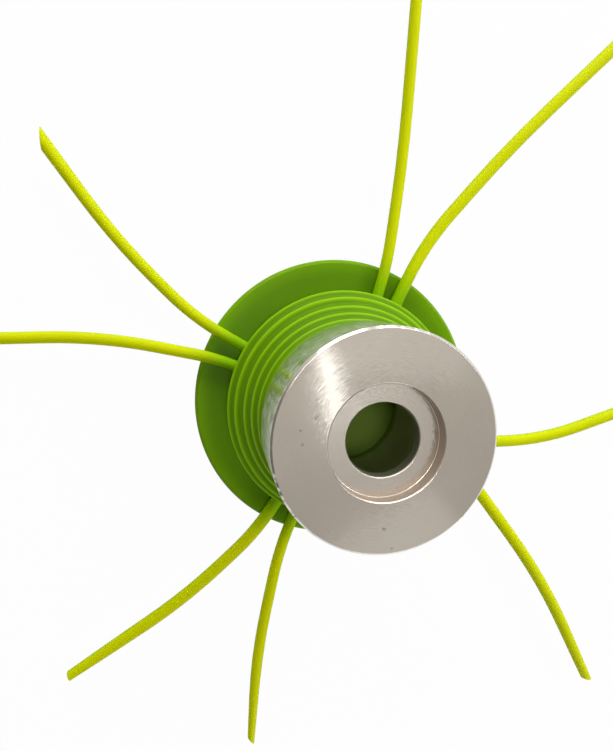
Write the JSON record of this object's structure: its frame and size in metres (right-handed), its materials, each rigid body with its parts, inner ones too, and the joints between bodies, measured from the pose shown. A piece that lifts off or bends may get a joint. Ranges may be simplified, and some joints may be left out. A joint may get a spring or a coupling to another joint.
{
  "type": "trimmer head",
  "caption": "Grass trimmer head: turned aluminium cup with a stepped arbor hole on a ribbed green nylon body with a wide flange, with thick cutting lines standing out in close pairs.",
  "frame": {"origin": "centre of the flange's flat underside, on the head's axis", "axes": "+Z along the axis, from the flange up to the turned face that meets the gearbox; +X towards the pair of line ends that has the longest arm"},
  "size_m": [0.2717, 0.2833, 0.063],
  "materials": {
    "turned_aluminium": "lathe-turned, lightly polished, fine concentric marks",
    "green_nylon": "moulded nylon, semi-gloss leaf green",
    "cutting_line": "extruded round nylon line, slightly translucent yellow-green"
  },
  "bodies": {
    "root": {"aluminium_cup": "turned_aluminium", "line_body": "green_nylon", "cutting_line_1": "cutting_line", "cutting_line_2": "cutting_line", "cutting_line_3": "cutting_line", "cutting_line_4": "cutting_line"}
  },
  "joints": []
}
